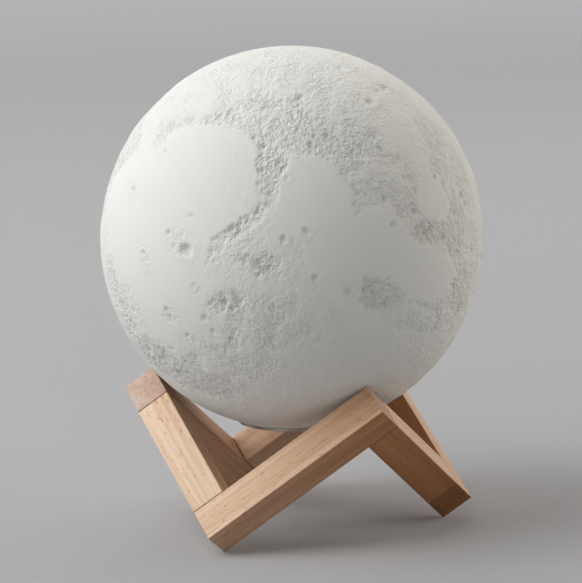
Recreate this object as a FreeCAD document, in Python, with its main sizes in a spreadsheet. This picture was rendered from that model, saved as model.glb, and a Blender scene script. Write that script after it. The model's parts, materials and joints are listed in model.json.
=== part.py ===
import FreeCAD, Part

# A moon lamp: a hollow printed moon with its light, battery and touch switch inside,
# lying loose in a ring of six square beech bars.
#
# The bars follow six edges of a cube that stands on one corner, the six that touch
# neither the lowest corner nor the highest. Three of them are long and run past the
# corners; the three short ones are butted between them on blind dowels. The moon
# rests on the three upper corners of the ring.
#
# Frame: millimetres, +Z up, origin on the floor under the middle of the ring.
# Heights of the moon's own pieces are measured from its flat bottom.

import math
import os
from collections import namedtuple

import Sketcher
from FreeCAD import Matrix, Placement, Rotation, Vector

DRIVING_SIZES = {
    # Stand
    "bar_overrun": 8.0,
    "bar_width": 14.0,
    "bar_arris_width": 0.5,
    "glue_thickness": 0.2,
    "dowel_width": 6.0,
    "dowel_length": 18.0,
    "dowel_clearance": 0.1,
    "dowel_end_room": 0.5,
    # Moon shell and the neck its base goes through
    "moon_width": 150.0,
    "shell_wall": 1.5,
    "cradle_gap": 0.25,
    "base_width": 46.0,
    "base_drop": 1.2,
    "neck_bore": 40.0,
    "neck_margin": 2.5,
    "neck_length": 5.8,
    "seat_depth": 2.0,
    "seat_lip": 1.0,
    # Touch ring
    "ring_bore": 25.0,
    "ring_plate": 0.8,
    "ring_skirt": 0.8,
    "ring_seam": 0.15,
    "ring_round": 0.4,
    # Base cover
    "cover_recess": 0.4,
    "cover_clearance": 0.2,
    "seat_clearance": 0.1,
    "plug_hole": 4.4,
    "screw_circle_width": 32.4,
    "counterbore_depth": 1.3,
    "counterbore_width": 4.0,
    "light_hole_offset": 8.0,
    "contact_slot_width": 3.6,
    "contact_slot_inner": 13.4,
    "contact_slot_outer": 17.4,
    "standoff_spread": 10.5,
    "standoff_width": 4.2,
    # Base housing
    "housing_height": 25.0,
    "housing_wall": 1.5,
    "housing_roof": 1.6,
    "neck_clearance": 0.3,
    "boss_width": 4.6,
    "boss_hole_depth": 9.0,
    "claw_reach": 1.0,
    "claw_height": 2.6,
    "claw_land": 0.5,
    "claw_clearance": 0.1,
    "cap_rim_height": 1.5,
    "cap_rim_wall": 1.2,
    "light_boss_height": 2.5,
    "light_boss_width": 4.0,
    "lead_slot_length": 5.6,
    "lead_slot_width": 1.8,
    "lead_offset": 12.4,
    # Screws
    "screw_width": 2.0,
    "screw_head_width": 3.5,
    "screw_head_height": 1.2,
    "screw_clearance": 0.1,
    "screw_way_room": 0.4,
    "screw_end_room": 0.5,
    "cover_screw_length": 8.0,
    "board_screw_length": 6.0,
    "light_screw_length": 3.6,
    # Lamp board, lamps and cap
    "light_board_width": 21.6,
    "light_board_thick": 1.0,
    "light_screw_spread": 9.0,
    "lamp_circle_width": 12.8,
    "lamp_length": 3.5,
    "lamp_depth": 2.8,
    "lamp_height": 1.4,
    "lamp_well": 2.2,
    "lamp_well_depth": 0.3,
    "cap_width": 30.2,
    "cap_wall": 1.2,
    "cap_height": 10.5,
    "cap_edge": 0.8,
    "cap_clearance": 0.15,
    # Main board and what is soldered to it
    "board_thick": 1.2,
    "board_clearance": 0.5,
    "board_notch_room": 0.4,
    "socket_height": 9.1,
    "socket_width": 6.8,
    "socket_flange": 0.7,
    "socket_bore": 3.7,
    "socket_depth": 7.9,
    "pin_width": 1.3,
    "pin_length": 6.2,
    "chip_height": 1.5,
    "chip_length": 5.0,
    "chip_width": 4.0,
    "chip_leg": 0.4,
    "chip_across": 6.0,
    "chip_deep": 5.5,
    "charger_size": 3.0,
    "charger_height": 1.1,
    "charger_across": 5.5,
    "charger_deep": 6.0,
    "coil_size": 4.4,
    "coil_height": 2.8,
    "coil_corner": 0.9,
    "coil_across": 6.5,
    "coil_deep": 6.0,
    "capacitor_width": 4.0,
    "capacitor_height": 3.2,
    "capacitor_across": 6.5,
    "capacitor_deep": 6.5,
    "signal_lamp_length": 2.0,
    "signal_lamp_width": 1.2,
    "signal_lamp_height": 0.8,
    "light_pipe_width": 2.0,
    "light_pipe_flange": 0.8,
    "light_pipe_gap": 0.1,
    "plug_block_length": 6.2,
    "plug_block_width": 3.4,
    "plug_block_height": 3.4,
    "plug_block_tuck": 0.2,
    # Touch contact
    "contact_strip": 0.3,
    "contact_width": 2.6,
    "contact_lap": 1.2,
    "contact_fold": 0.48,
    # Battery
    "battery_length": 21.0,
    "battery_width": 20.0,
    "battery_room": 0.7,
    "battery_round": 1.5,
    "pad_size": 18.0,
    "pad_thick": 1.0,
    # Inner leads
    "lead_width": 1.0,
    "lead_spacing": 3.2,
    "battery_lead_spacing": 2.2,
    "lead_bend": 1.1,
    "lead_seat_gap": 0.05,
    "lamp_lead_reach": 3.6,
}

THIRDS = (0, 1, 2)
THIRD_TURN = 120.0
BOSS_ANGLE = 90.0
CLAW_ANGLE = 30.0
CLAW_ARC = 24.0
CONTACT_ANGLE = 30.0
LAMP_ANGLE = 30.0
LAMP_TURN = 60.0
LEAD_SIDES = 8
HOLLOW_ANGLES = range(20, 160, 20)


class Size:
    """A length that carries both its number and the expression that binds it to the sheet."""

    def __init__(self, text, number):
        self.text = text
        self.number = number

    @staticmethod
    def of(value):
        return value if isinstance(value, Size) else Size(repr(float(value)), float(value))

    def __add__(self, other):
        other = Size.of(other)
        return Size(f"({self.text} + {other.text})", self.number + other.number)

    def __sub__(self, other):
        other = Size.of(other)
        return Size(f"({self.text} - {other.text})", self.number - other.number)

    def __mul__(self, other):
        other = Size.of(other)
        return Size(f"({self.text} * {other.text})", self.number * other.number)

    def __truediv__(self, other):
        other = Size.of(other)
        return Size(f"({self.text} / {other.text})", self.number / other.number)

    def __neg__(self):
        return Size(f"(0 - {self.text})", -self.number)

    __radd__ = __add__
    __rmul__ = __mul__

    def __rsub__(self, other):
        return Size.of(other) - self


def root(size):
    """The square root of a size that is a square."""
    return Size(f"sqrt({size.text})", math.sqrt(size.number))


def leg(long_side, other_side):
    """The third side of a right triangle, from its longest side and one other."""
    return root(long_side * long_side - other_side * other_side)


doc = FreeCAD.newDocument("moon_lamp")
sheet = doc.addObject("Spreadsheet::Sheet", "Sizes")
for row, (alias, value) in enumerate(DRIVING_SIZES.items(), start=1):
    sheet.set(f"A{row}", alias)
    sheet.set(f"B{row}", str(value))
    sheet.setAlias(f"B{row}", alias)
doc.recompute()
S = namedtuple("Sizes", DRIVING_SIZES)(
    *(Size(f"Sizes.{alias}", float(sheet.get(alias))) for alias in DRIVING_SIZES)
)
ZERO = Size.of(0)

nodes = {}


# ---------------------------------------------------------------- modelling helpers


def bind(item, prop, size):
    """Ties one property of an object to the sheet."""
    item.setExpression(prop, Size.of(size).text)


def new_body(name):
    """An empty body, labelled and listed as a node of the lamp."""
    body = doc.addObject("PartDesign::Body", name)
    body.Label = name
    return body


def origin_feature(body, role):
    return next(item for item in body.Origin.OriginFeatures if item.Role == role)


def new_sketch(body, name, role="XY_Plane", lift=ZERO):
    """A sketch on one of the body's own planes, lifted along the plane's normal."""
    sketch = body.newObject("Sketcher::SketchObject", f"{body.Name}_{name}")
    sketch.AttachmentSupport = [(origin_feature(body, role), "")]
    sketch.MapMode = "FlatFace"
    sketch.AttachmentOffset = Placement(Vector(0, 0, lift.number), Rotation())
    bind(sketch, "AttachmentOffset.Base.z", lift)
    return sketch


def hold_point(sketch, edge, end, across, up):
    """Fixes one end of an edge (or a circle's centre) by its two distances from the origin."""
    for kind, axis, size in (("DistanceX", -2, across), ("DistanceY", -1, up)):
        if size is ZERO:
            sketch.addConstraint(Sketcher.Constraint("PointOnObject", edge, end, axis))
        else:
            place = sketch.addConstraint(Sketcher.Constraint(kind, -1, 1, edge, end, size.number))
            bind(sketch, f"Constraints[{place}]", size)


def outline(sketch, corners):
    """A closed outline through corners given as (across, up) or, where an arc leads on
    to the next corner, (across, up, height of the arc's centre on the upright axis)."""
    corners = [tuple(Size.of(part) if part != 0 else ZERO for part in corner) for corner in corners]
    first = sketch.GeometryCount
    starts = []
    for corner, following in zip(corners, corners[1:] + corners[:1]):
        start = Vector(corner[0].number, corner[1].number, 0)
        stop = Vector(following[0].number, following[1].number, 0)
        if len(corner) == 2:
            sketch.addGeometry(Part.LineSegment(start, stop), False)
            starts.append((1, 2))
        else:
            centre = Vector(0, corner[2].number, 0)
            turn_start = math.atan2(start.y - centre.y, start.x)
            turn_stop = math.atan2(stop.y - centre.y, stop.x)
            circle = Part.Circle(centre, Vector(0, 0, 1), (start - centre).Length)
            forward = turn_stop > turn_start
            turns = (turn_start, turn_stop) if forward else (turn_stop, turn_start)
            edge = sketch.addGeometry(Part.ArcOfCircle(circle, *turns), False)
            sketch.addConstraint(Sketcher.Constraint("PointOnObject", edge, 3, -2))
            starts.append((1, 2) if forward else (2, 1))
    count = len(corners)
    for place, corner in enumerate(corners):
        before = (place - 1) % count
        sketch.addConstraint(
            Sketcher.Constraint("Coincident", first + before, starts[before][1],
                                first + place, starts[place][0])
        )
        hold_point(sketch, first + place, starts[place][0], corner[0], corner[1])
    return sketch


def rectangle(sketch, middle, length, width):
    """A rectangle about a middle point, its length across and its width up."""
    across, up = middle
    outline(sketch, [
        (across - length / 2, up - width / 2),
        (across + length / 2, up - width / 2),
        (across + length / 2, up + width / 2),
        (across - length / 2, up + width / 2),
    ])
    return sketch


def circle(sketch, middle, width):
    """A circle of a given width about a middle point."""
    across, up = middle
    place = sketch.addGeometry(
        Part.Circle(Vector(across.number, up.number, 0), Vector(0, 0, 1), width.number / 2), False
    )
    hold_point(sketch, place, 3, across, up)
    tie = sketch.addConstraint(Sketcher.Constraint("Radius", place, width.number / 2))
    bind(sketch, f"Constraints[{tie}]", width / 2)
    return sketch


def pad(sketch, length, backwards=False):
    """Material raised from a sketch along its normal."""
    body = sketch.getParentGeoFeatureGroup()
    feature = body.newObject("PartDesign::Pad", f"{sketch.Name}_pad")
    feature.Profile = sketch
    feature.Reversed = backwards
    bind(feature, "Length", length)
    return feature


def cut(sketch, depth, forwards=False):
    """A pocket from a sketch, against its normal or, forwards, along it."""
    body = sketch.getParentGeoFeatureGroup()
    feature = body.newObject("PartDesign::Pocket", f"{sketch.Name}_cut")
    feature.Profile = sketch
    feature.Type = "Length"
    feature.Reversed = forwards
    bind(feature, "Length", depth)
    return feature


def turned(sketch):
    """Material turned about the body's upright axis."""
    body = sketch.getParentGeoFeatureGroup()
    feature = body.newObject("PartDesign::Revolution", f"{sketch.Name}_turned")
    feature.Profile = sketch
    feature.ReferenceAxis = (sketch, ["V_Axis"])
    feature.Angle = 360.0
    return feature


def round_uprights(feature, radius):
    """Rounds the upright edges of a straight block."""
    body = feature.getParentGeoFeatureGroup()
    doc.recompute()
    least = feature.Length.Value / 2
    edges = enumerate(feature.Shape.Edges, start=1)
    fillet = body.newObject("PartDesign::Fillet", f"{feature.Name}_round")
    fillet.Base = (feature, [f"Edge{place}" for place, edge in edges if edge.BoundBox.ZLength > least])
    bind(fillet, "Radius", radius)
    return fillet


def around(features, count=3):
    """Repeats features evenly about the body's upright axis."""
    body = features[0].getParentGeoFeatureGroup()
    pattern = body.newObject("PartDesign::PolarPattern", f"{features[0].Name}_around")
    pattern.Originals = features
    pattern.Axis = (origin_feature(body, "Z_Axis"), [""])
    pattern.Angle = 360.0
    pattern.Occurrences = count
    body.Tip = pattern
    return pattern


def settle(name, item):
    """Lists a finished piece as a node."""
    item.Label = name
    nodes[name] = item
    return item


def at(item, across=ZERO, deep=ZERO, up=ZERO, turn=0.0):
    """Places a piece of the moon, in the moon's own frame, and stands it on the cradle."""
    item.Placement = Placement(Vector(), Rotation(Vector(0, 0, 1), turn))
    bind(item, "Placement.Base.x", across)
    bind(item, "Placement.Base.y", deep)
    bind(item, "Placement.Base.z", up + moon_bottom)
    return item


def polar(circle_width, angle):
    """The point at an angle in degrees on a circle about the upright axis."""
    turn = math.radians(angle)
    return circle_width / 2 * math.cos(turn), circle_width / 2 * math.sin(turn)


def group(name, master, placements):
    """One node of several separate copies of a master piece."""
    copies = []
    for place, placement in enumerate(placements):
        copy = doc.addObject("App::Link", f"{name}_{place}")
        copy.LinkedObject = master
        copy.LinkTransform = False
        copy.Placement = placement
        copies.append(copy)
    compound = doc.addObject("Part::Compound", name)
    compound.Links = copies
    return compound


# ---------------------------------------------------------------- shared heights and radii

half_moon = S.moon_width / 2
bar_length = half_moon + S.bar_overrun
base_radius = S.base_width / 2
moon_middle = S.base_drop + leg(half_moon, base_radius)
neck_radius = S.neck_bore / 2
seat_radius = base_radius - S.seat_lip
seat_level = S.base_drop + S.seat_depth
cover_top = seat_level - S.seat_clearance
roof_top = cover_top + S.housing_height
roof_under = roof_top - S.housing_roof
housing_outer = neck_radius - S.neck_clearance
housing_inner = housing_outer - S.housing_wall
board_under = cover_top + S.socket_height
board_top = board_under + S.board_thick
battery_top = roof_under - S.pad_thick
battery_thick = battery_top - board_top - S.plug_block_height - S.battery_room
light_board_under = roof_top + S.light_boss_height
light_board_top = light_board_under + S.light_board_thick
screw_hole = S.screw_width - S.screw_clearance
screw_way = S.screw_width + S.screw_way_room

# The cradle: the moon's middle is at the same distance along all three edges of the
# cube. That distance follows from the ring's upper corners, inside their broken arrises.
corner_far = bar_length - S.bar_arris_width
corner_near = S.bar_width
corner_reach = half_moon + S.cradle_gap
edge_sum = 4 * corner_far + 2 * corner_near
edge_rest = 2 * corner_far * corner_far + corner_near * corner_near - corner_reach * corner_reach
moon_along = (edge_sum + root(edge_sum * edge_sum - 12 * edge_rest)) / 6
ROOT_3 = math.sqrt(3.0)
tip_loss = 2 * S.bar_arris_width / ROOT_3
stand_drop = (bar_length - S.bar_width) / ROOT_3 + tip_loss
moon_bottom = moon_along * ROOT_3 - stand_drop - moon_middle


# ---------------------------------------------------------------- the stand


def corner_frame(third, first, second, last):
    """A place on the cube that stands on its corner, given along its three edges, in the
    lamp's frame, and turned by whole thirds about the upright axis."""
    lean = math.sqrt(2.0 / 3.0)
    columns = []
    for angle in (240.0, 0.0, 120.0):
        turn = math.radians(angle)
        columns.append(Vector(lean * math.cos(turn), lean * math.sin(turn), 1.0 / ROOT_3))
    one, two, three = columns
    stand_up = Placement(Matrix(
        one.x, two.x, three.x, 0,
        one.y, two.y, three.y, 0,
        one.z, two.z, three.z, -stand_drop.number,
        0, 0, 0, 1,
    ))
    turned_third = Placement(Vector(), Rotation(Vector(0, 0, 1), third * THIRD_TURN))
    shift = Placement(Vector(first.number, second.number, last.number), Rotation())
    return turned_third.multiply(stand_up).multiply(shift)


half_bar = S.bar_width / 2
dowel_bore = S.dowel_width + 2 * S.dowel_clearance
dowel_depth = (S.dowel_length - S.glue_thickness) / 2 + S.dowel_end_room
strut_length = bar_length - 2 * S.bar_width - 2 * S.glue_thickness


def square_bar(name, length, direction):
    """A square bar with its arrises broken, its length along +Y or +Z."""
    body = new_body(name)
    role = "XZ_Plane" if direction == "Y" else "XY_Plane"
    section = new_sketch(body, "section", role)
    rectangle(section, (half_bar, half_bar), S.bar_width, S.bar_width)
    blank = pad(section, length, backwards=direction == "Y")
    arrises = body.newObject("PartDesign::Chamfer", f"{name}_arrises")
    arrises.Base = (blank, [""])
    arrises.UseAllEdges = True
    bind(arrises, "Size", S.bar_arris_width)
    return body


def long_bar(name, third):
    """A long bar: one blind bore in its upper face near one end, one in its side at the other."""
    body = square_bar(name, bar_length, "Y")
    near = circle(new_sketch(body, "near_bore", "XY_Plane", S.bar_width), (half_bar, half_bar), dowel_bore)
    cut(near, dowel_depth)
    far = circle(new_sketch(body, "far_bore", "YZ_Plane"), (bar_length - half_bar, half_bar), dowel_bore)
    cut(far, dowel_depth, forwards=True)
    body.Placement = corner_frame(third, bar_length - S.bar_width, ZERO, ZERO)
    return settle(name, body)


def short_bar(name, third):
    """A short bar, butted between two long ones, with a blind bore in each end."""
    body = square_bar(name, strut_length, "Z")
    low = circle(new_sketch(body, "low_bore"), (half_bar, half_bar), dowel_bore)
    cut(low, dowel_depth, forwards=True)
    high = circle(new_sketch(body, "high_bore", "XY_Plane", strut_length), (half_bar, half_bar), dowel_bore)
    cut(high, dowel_depth)
    body.Placement = corner_frame(third, bar_length - S.bar_width, ZERO, S.bar_width + S.glue_thickness)
    return settle(name, body)


def stand_dowels():
    """Six plain beech dowels, one across each glued joint."""
    master = new_body("dowel")
    foot = new_sketch(master, "section", lift=-S.dowel_length / 2)
    pad(circle(foot, (ZERO, ZERO), S.dowel_width), S.dowel_length)
    low_joint = S.bar_width + S.glue_thickness / 2
    high_joint = bar_length - low_joint
    places = [
        corner_frame(third, bar_length - half_bar, half_bar, joint)
        for third in THIRDS
        for joint in (low_joint, high_joint)
    ]
    return settle("stand_dowels", group("stand_dowels", master, places))


# ---------------------------------------------------------------- the moon's outside


def moon_shell():
    """The printed moon: a thin sphere cut flat below, with a stout neck around its opening.
    Its hollow is a run of cones whose edges lie one wall's thickness inside the sphere."""
    body = new_body("moon_shell")
    inner_moon = half_moon - S.shell_wall
    neck_outer = seat_radius + S.neck_margin
    neck_foot = moon_middle - leg(inner_moon, neck_outer)
    neck_top = seat_level + S.neck_length
    turns = [math.radians(angle) for angle in HOLLOW_ANGLES]
    hollow = [(inner_moon * math.sin(turn), moon_middle + inner_moon * math.cos(turn)) for turn in turns]
    turned(outline(new_sketch(body, "profile", "XZ_Plane"), [
        (base_radius, S.base_drop, moon_middle),
        (0, moon_middle + half_moon),
        (0, moon_middle + inner_moon),
        *hollow,
        (neck_outer, neck_foot),
        (neck_outer, neck_top),
        (neck_radius, neck_top),
        (neck_radius, seat_level),
        (seat_radius, seat_level),
        (seat_radius, S.base_drop),
    ]))
    return settle("moon_shell", at(body))


def touch_ring():
    """The pressed metal ring under the moon: a flat plate with a low upturned skirt."""
    body = new_body("touch_ring")
    bore = S.ring_bore / 2
    skirt = base_radius - S.ring_skirt
    top = S.base_drop - S.ring_seam
    turned(outline(new_sketch(body, "profile", "XZ_Plane"), [
        (bore, 0), (base_radius - S.ring_round, 0), (base_radius, S.ring_round), (base_radius, top),
        (skirt, top), (skirt, S.ring_plate), (bore, S.ring_plate),
    ]))
    return settle("touch_ring", at(body))


def base_cover():
    """The white disc that closes the base, with its plug hole, screw holes and standoffs."""
    body = new_body("base_cover")
    boss = S.ring_bore / 2 - S.cover_clearance
    edge = seat_radius - S.cover_clearance
    turned(outline(new_sketch(body, "profile", "XZ_Plane"), [
        (0, S.cover_recess), (boss, S.cover_recess), (boss, S.ring_plate),
        (edge, S.ring_plate), (edge, cover_top), (0, cover_top),
    ]))
    for side in (-1, 1):
        name = "left_standoff" if side < 0 else "right_standoff"
        spot = (side * S.standoff_spread, ZERO)
        pad(circle(new_sketch(body, name, lift=cover_top), spot, S.standoff_width), S.socket_height)
        hole = circle(new_sketch(body, f"{name}_hole", lift=board_under), spot, screw_hole)
        cut(hole, S.board_screw_length - S.board_thick + S.screw_end_room)
    through = cover_top
    cut(circle(new_sketch(body, "plug_hole"), (ZERO, ZERO), S.plug_hole), through, forwards=True)
    pipe_way = S.light_pipe_width + S.cover_clearance
    light_hole = circle(new_sketch(body, "light_hole"), (ZERO, -S.light_hole_offset), pipe_way)
    cut(light_hole, through, forwards=True)
    reach = S.contact_slot_outer - S.contact_slot_inner
    slot = new_sketch(body, "contact_slot")
    rectangle(slot, (S.contact_slot_inner + reach / 2, ZERO), reach, S.contact_slot_width)
    slot.AttachmentOffset = Placement(Vector(), Rotation(Vector(0, 0, 1), CONTACT_ANGLE))
    cut(slot, through, forwards=True)
    spot = polar(S.screw_circle_width, BOSS_ANGLE)
    way = cut(circle(new_sketch(body, "screw_way"), spot, screw_way), through, forwards=True)
    sink = cut(
        circle(new_sketch(body, "screw_sink"), spot, S.counterbore_width),
        S.ring_plate + S.counterbore_depth, forwards=True,
    )
    around([way, sink])
    return settle("base_cover", at(body))


def base_housing():
    """The cup inside the neck: bosses for the cover, claws over the neck, seats for the lamps."""
    body = new_body("base_housing")
    turned(outline(new_sketch(body, "cup", "XZ_Plane"), [
        (housing_inner, cover_top), (housing_outer, cover_top), (housing_outer, roof_top),
        (0, roof_top), (0, roof_under), (housing_inner, roof_under),
    ]))
    rim = S.cap_width / 2 + S.cap_clearance
    turned(outline(new_sketch(body, "cap_rim", "XZ_Plane"), [
        (rim, roof_top), (rim + S.cap_rim_wall, roof_top),
        (rim + S.cap_rim_wall, roof_top + S.cap_rim_height), (rim, roof_top + S.cap_rim_height),
    ]))
    for side in (-1, 1):
        name = "left_seat" if side < 0 else "right_seat"
        spot = (side * S.light_screw_spread, ZERO)
        pad(circle(new_sketch(body, name, lift=roof_top), spot, S.light_boss_width), S.light_boss_height)
        hole = circle(new_sketch(body, f"{name}_hole", lift=light_board_under), spot, screw_hole)
        cut(hole, S.light_screw_length)
    slot = new_sketch(body, "lead_slot", lift=roof_top)
    rectangle(slot, (ZERO, -S.lead_offset), S.lead_slot_length, S.lead_slot_width)
    cut(slot, S.housing_roof)
    spot = polar(S.screw_circle_width, BOSS_ANGLE)
    boss_length = S.housing_height - S.housing_roof
    boss = pad(circle(new_sketch(body, "boss", lift=cover_top), spot, S.boss_width), boss_length)
    around([boss])
    hole = circle(new_sketch(body, "boss_hole", lift=cover_top), spot, screw_hole)
    around([cut(hole, S.boss_hole_depth, forwards=True)])
    claw_foot = seat_level + S.neck_length + S.claw_clearance
    claw_tip = housing_outer + S.claw_reach
    claw = new_sketch(body, "claw", "XZ_Plane")
    claw.AttachmentOffset = Placement(Vector(), Rotation(Vector(0, 1, 0), CLAW_ANGLE - CLAW_ARC / 2))
    outline(claw, [
        (housing_inner + S.housing_wall / 2, claw_foot), (claw_tip, claw_foot),
        (claw_tip, claw_foot + S.claw_land), (housing_inner + S.housing_wall / 2, claw_foot + S.claw_height),
    ])
    lug = turned(claw)
    lug.Angle = CLAW_ARC
    around([lug])
    return settle("base_housing", at(body))


# ---------------------------------------------------------------- the light


def light_board():
    """The round board on the housing's roof that carries the six lamps."""
    body = new_body("light_board")
    pad(circle(new_sketch(body, "outline"), (ZERO, ZERO), S.light_board_width), S.light_board_thick)
    holes = new_sketch(body, "screw_ways")
    for side in (-1, 1):
        circle(holes, (side * S.light_screw_spread, ZERO), screw_way)
    cut(holes, S.light_board_thick, forwards=True)
    return settle("light_board", at(body, up=light_board_under))


def lamp(name, place):
    """One small surface lamp: a white package with a square well of yellow resin."""
    body = new_body(name)
    pad(rectangle(new_sketch(body, "package"), (ZERO, ZERO), S.lamp_depth, S.lamp_length), S.lamp_height)
    well = rectangle(new_sketch(body, "well", lift=S.lamp_height), (ZERO, ZERO), S.lamp_well, S.lamp_well)
    cut(well, S.lamp_well_depth)
    angle = LAMP_ANGLE + place * LAMP_TURN
    across, deep = polar(S.lamp_circle_width, angle)
    return settle(name, at(body, across, deep, light_board_top, angle))


def light_cap():
    """The frosted cap over the lamps: a thin cup upside down, its upper edge broken."""
    body = new_body("light_cap")
    outer = S.cap_width / 2
    inner = outer - S.cap_wall
    turned(outline(new_sketch(body, "profile", "XZ_Plane"), [
        (inner, 0), (outer, 0), (outer, S.cap_height - S.cap_edge), (outer - S.cap_edge, S.cap_height),
        (0, S.cap_height), (0, S.cap_height - S.cap_wall), (inner, S.cap_height - S.cap_wall),
    ]))
    return settle("light_cap", at(body, up=roof_top))


# ---------------------------------------------------------------- the electronics


def main_board():
    """The round board over the cover, notched around the housing's three bosses."""
    body = new_body("main_board")
    width = 2 * (housing_inner - S.board_clearance)
    pad(circle(new_sketch(body, "outline"), (ZERO, ZERO), width), S.board_thick)
    holes = new_sketch(body, "screw_ways")
    for side in (-1, 1):
        circle(holes, (side * S.standoff_spread, ZERO), screw_way)
    cut(holes, S.board_thick, forwards=True)
    spot = polar(S.screw_circle_width, BOSS_ANGLE)
    notch = circle(new_sketch(body, "notch"), spot, S.boss_width + 2 * S.board_notch_room)
    around([cut(notch, S.board_thick, forwards=True)])
    return settle("main_board", at(body, up=board_under))


def charge_socket():
    """The upright socket for the charging plug, its mouth behind the cover's hole."""
    body = new_body("charge_socket")
    half = S.socket_width / 2
    flange = half + S.socket_flange
    bore = S.socket_bore / 2
    turned(outline(new_sketch(body, "profile", "XZ_Plane"), [
        (bore, 0), (flange, 0), (flange, S.socket_flange), (half, S.socket_flange),
        (half, S.socket_height), (0, S.socket_height), (0, S.socket_depth), (bore, S.socket_depth),
    ]))
    return settle("charge_socket", at(body, up=cover_top))


def socket_pin():
    """The middle contact of the socket, fixed in its blind end."""
    body = new_body("socket_pin")
    half = S.pin_width / 2
    tip = half / 2
    turned(outline(new_sketch(body, "profile", "XZ_Plane"), [
        (0, 0), (tip, 0), (half, tip), (half, S.pin_length), (0, S.pin_length),
    ]))
    return settle("socket_pin", at(body, up=cover_top + S.socket_depth - S.pin_length))


def block(name, size, middle, up, corner=None):
    """A small square part on a board, its upright edges rounded where a corner is given."""
    length, width, height = size
    body = new_body(name)
    solid = pad(rectangle(new_sketch(body, "outline"), (ZERO, ZERO), length, width), height)
    if corner is not None:
        round_uprights(solid, corner)
    across, deep = middle
    return settle(name, at(body, across, deep, up))


def control_chip():
    """The chip that reads the touch and dims the lamps, on two rows of four legs."""
    body = new_body("control_chip")
    foot = S.chip_leg
    pad(rectangle(new_sketch(body, "case", lift=foot), (ZERO, ZERO), S.chip_length, S.chip_width),
        S.chip_height - foot)
    legs = new_sketch(body, "legs")
    pitch = S.chip_length / 4
    for place in range(4):
        across = pitch * (place - 1.5)
        for side in (-1, 1):
            deep = side * (S.chip_width / 2 + foot)
            rectangle(legs, (across, deep), foot, 3 * foot)
    pad(legs, 2 * foot)
    return settle("control_chip", at(body, -S.chip_across, S.chip_deep, board_top))


def capacitor():
    """The round capacitor beside the coil."""
    body = new_body("capacitor")
    pad(circle(new_sketch(body, "can"), (ZERO, ZERO), S.capacitor_width), S.capacitor_height)
    return settle("capacitor", at(body, -S.capacitor_across, -S.capacitor_deep, board_top))


def light_pipe():
    """The clear rod that carries the charge light through the cover."""
    body = new_body("light_pipe")
    half = S.light_pipe_width / 2
    flange = half + S.light_pipe_flange
    bottom = S.cover_recess + S.light_pipe_gap
    top = board_under - S.signal_lamp_height - S.light_pipe_gap
    turned(outline(new_sketch(body, "profile", "XZ_Plane"), [
        (0, bottom), (half, bottom), (half, cover_top), (flange, cover_top),
        (flange, cover_top + S.light_pipe_flange), (half, cover_top + S.light_pipe_flange),
        (half, top), (0, top),
    ]))
    return settle("light_pipe", at(body, deep=-S.light_hole_offset))


def touch_contact():
    """The bent spring strip that joins the board to the metal ring through the cover."""
    body = new_body("touch_contact")
    strip = S.contact_strip
    lap = S.contact_lap
    floor = S.ring_plate
    slot_middle = (S.contact_slot_inner + S.contact_slot_outer) / 2
    heel = slot_middle - S.contact_width / 2
    toe = slot_middle + S.contact_width / 2 - strip
    knee = (floor + board_under) / 2
    outline(new_sketch(body, "profile", "XZ_Plane"), [
        (heel, floor), (toe, floor), (toe, floor + strip), (heel + strip, floor + strip),
        (heel + strip, floor + lap), (toe, knee), (heel + strip, board_under - lap),
        (heel + strip, board_under - strip), (toe, board_under - strip), (toe, board_under),
        (heel, board_under), (heel, board_under - lap), (toe - S.contact_fold, knee),
        (heel, floor + lap),
    ])
    feature = pad(body.Group[-1], S.contact_width)
    feature.Midplane = True
    return settle("touch_contact", at(body, turn=CONTACT_ANGLE))


def battery():
    """The flat rechargeable cell in its foil, held under the roof."""
    body = new_body("battery_cell")
    solid = pad(rectangle(new_sketch(body, "outline"), (ZERO, ZERO), S.battery_length, S.battery_width),
                battery_thick)
    round_uprights(solid, S.battery_round)
    return settle("battery_cell", at(body, up=battery_top - battery_thick))


# ---------------------------------------------------------------- screws and leads


def screw_master(name, length):
    """A cheese-head screw standing on its head's underside at z = 0, its shank downwards."""
    body = new_body(name)
    half = S.screw_width / 2 - S.screw_clearance
    head = S.screw_head_width / 2
    turned(outline(new_sketch(body, "profile", "XZ_Plane"), [
        (0, -length), (half, -length), (half, 0), (head, 0),
        (head, S.screw_head_height), (0, S.screw_head_height),
    ]))
    return body


def screws(name, length, places, up, head_down=False):
    """A node of equal screws with their heads at one level."""
    master = screw_master(f"{name}_master", length)
    upside = Rotation(Vector(1, 0, 0), 180.0 if head_down else 0.0)
    level = (up + moon_bottom).number
    spots = [Placement(Vector(across.number, deep.number, level), upside) for across, deep in places]
    return settle(name, group(name, master, spots))


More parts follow.
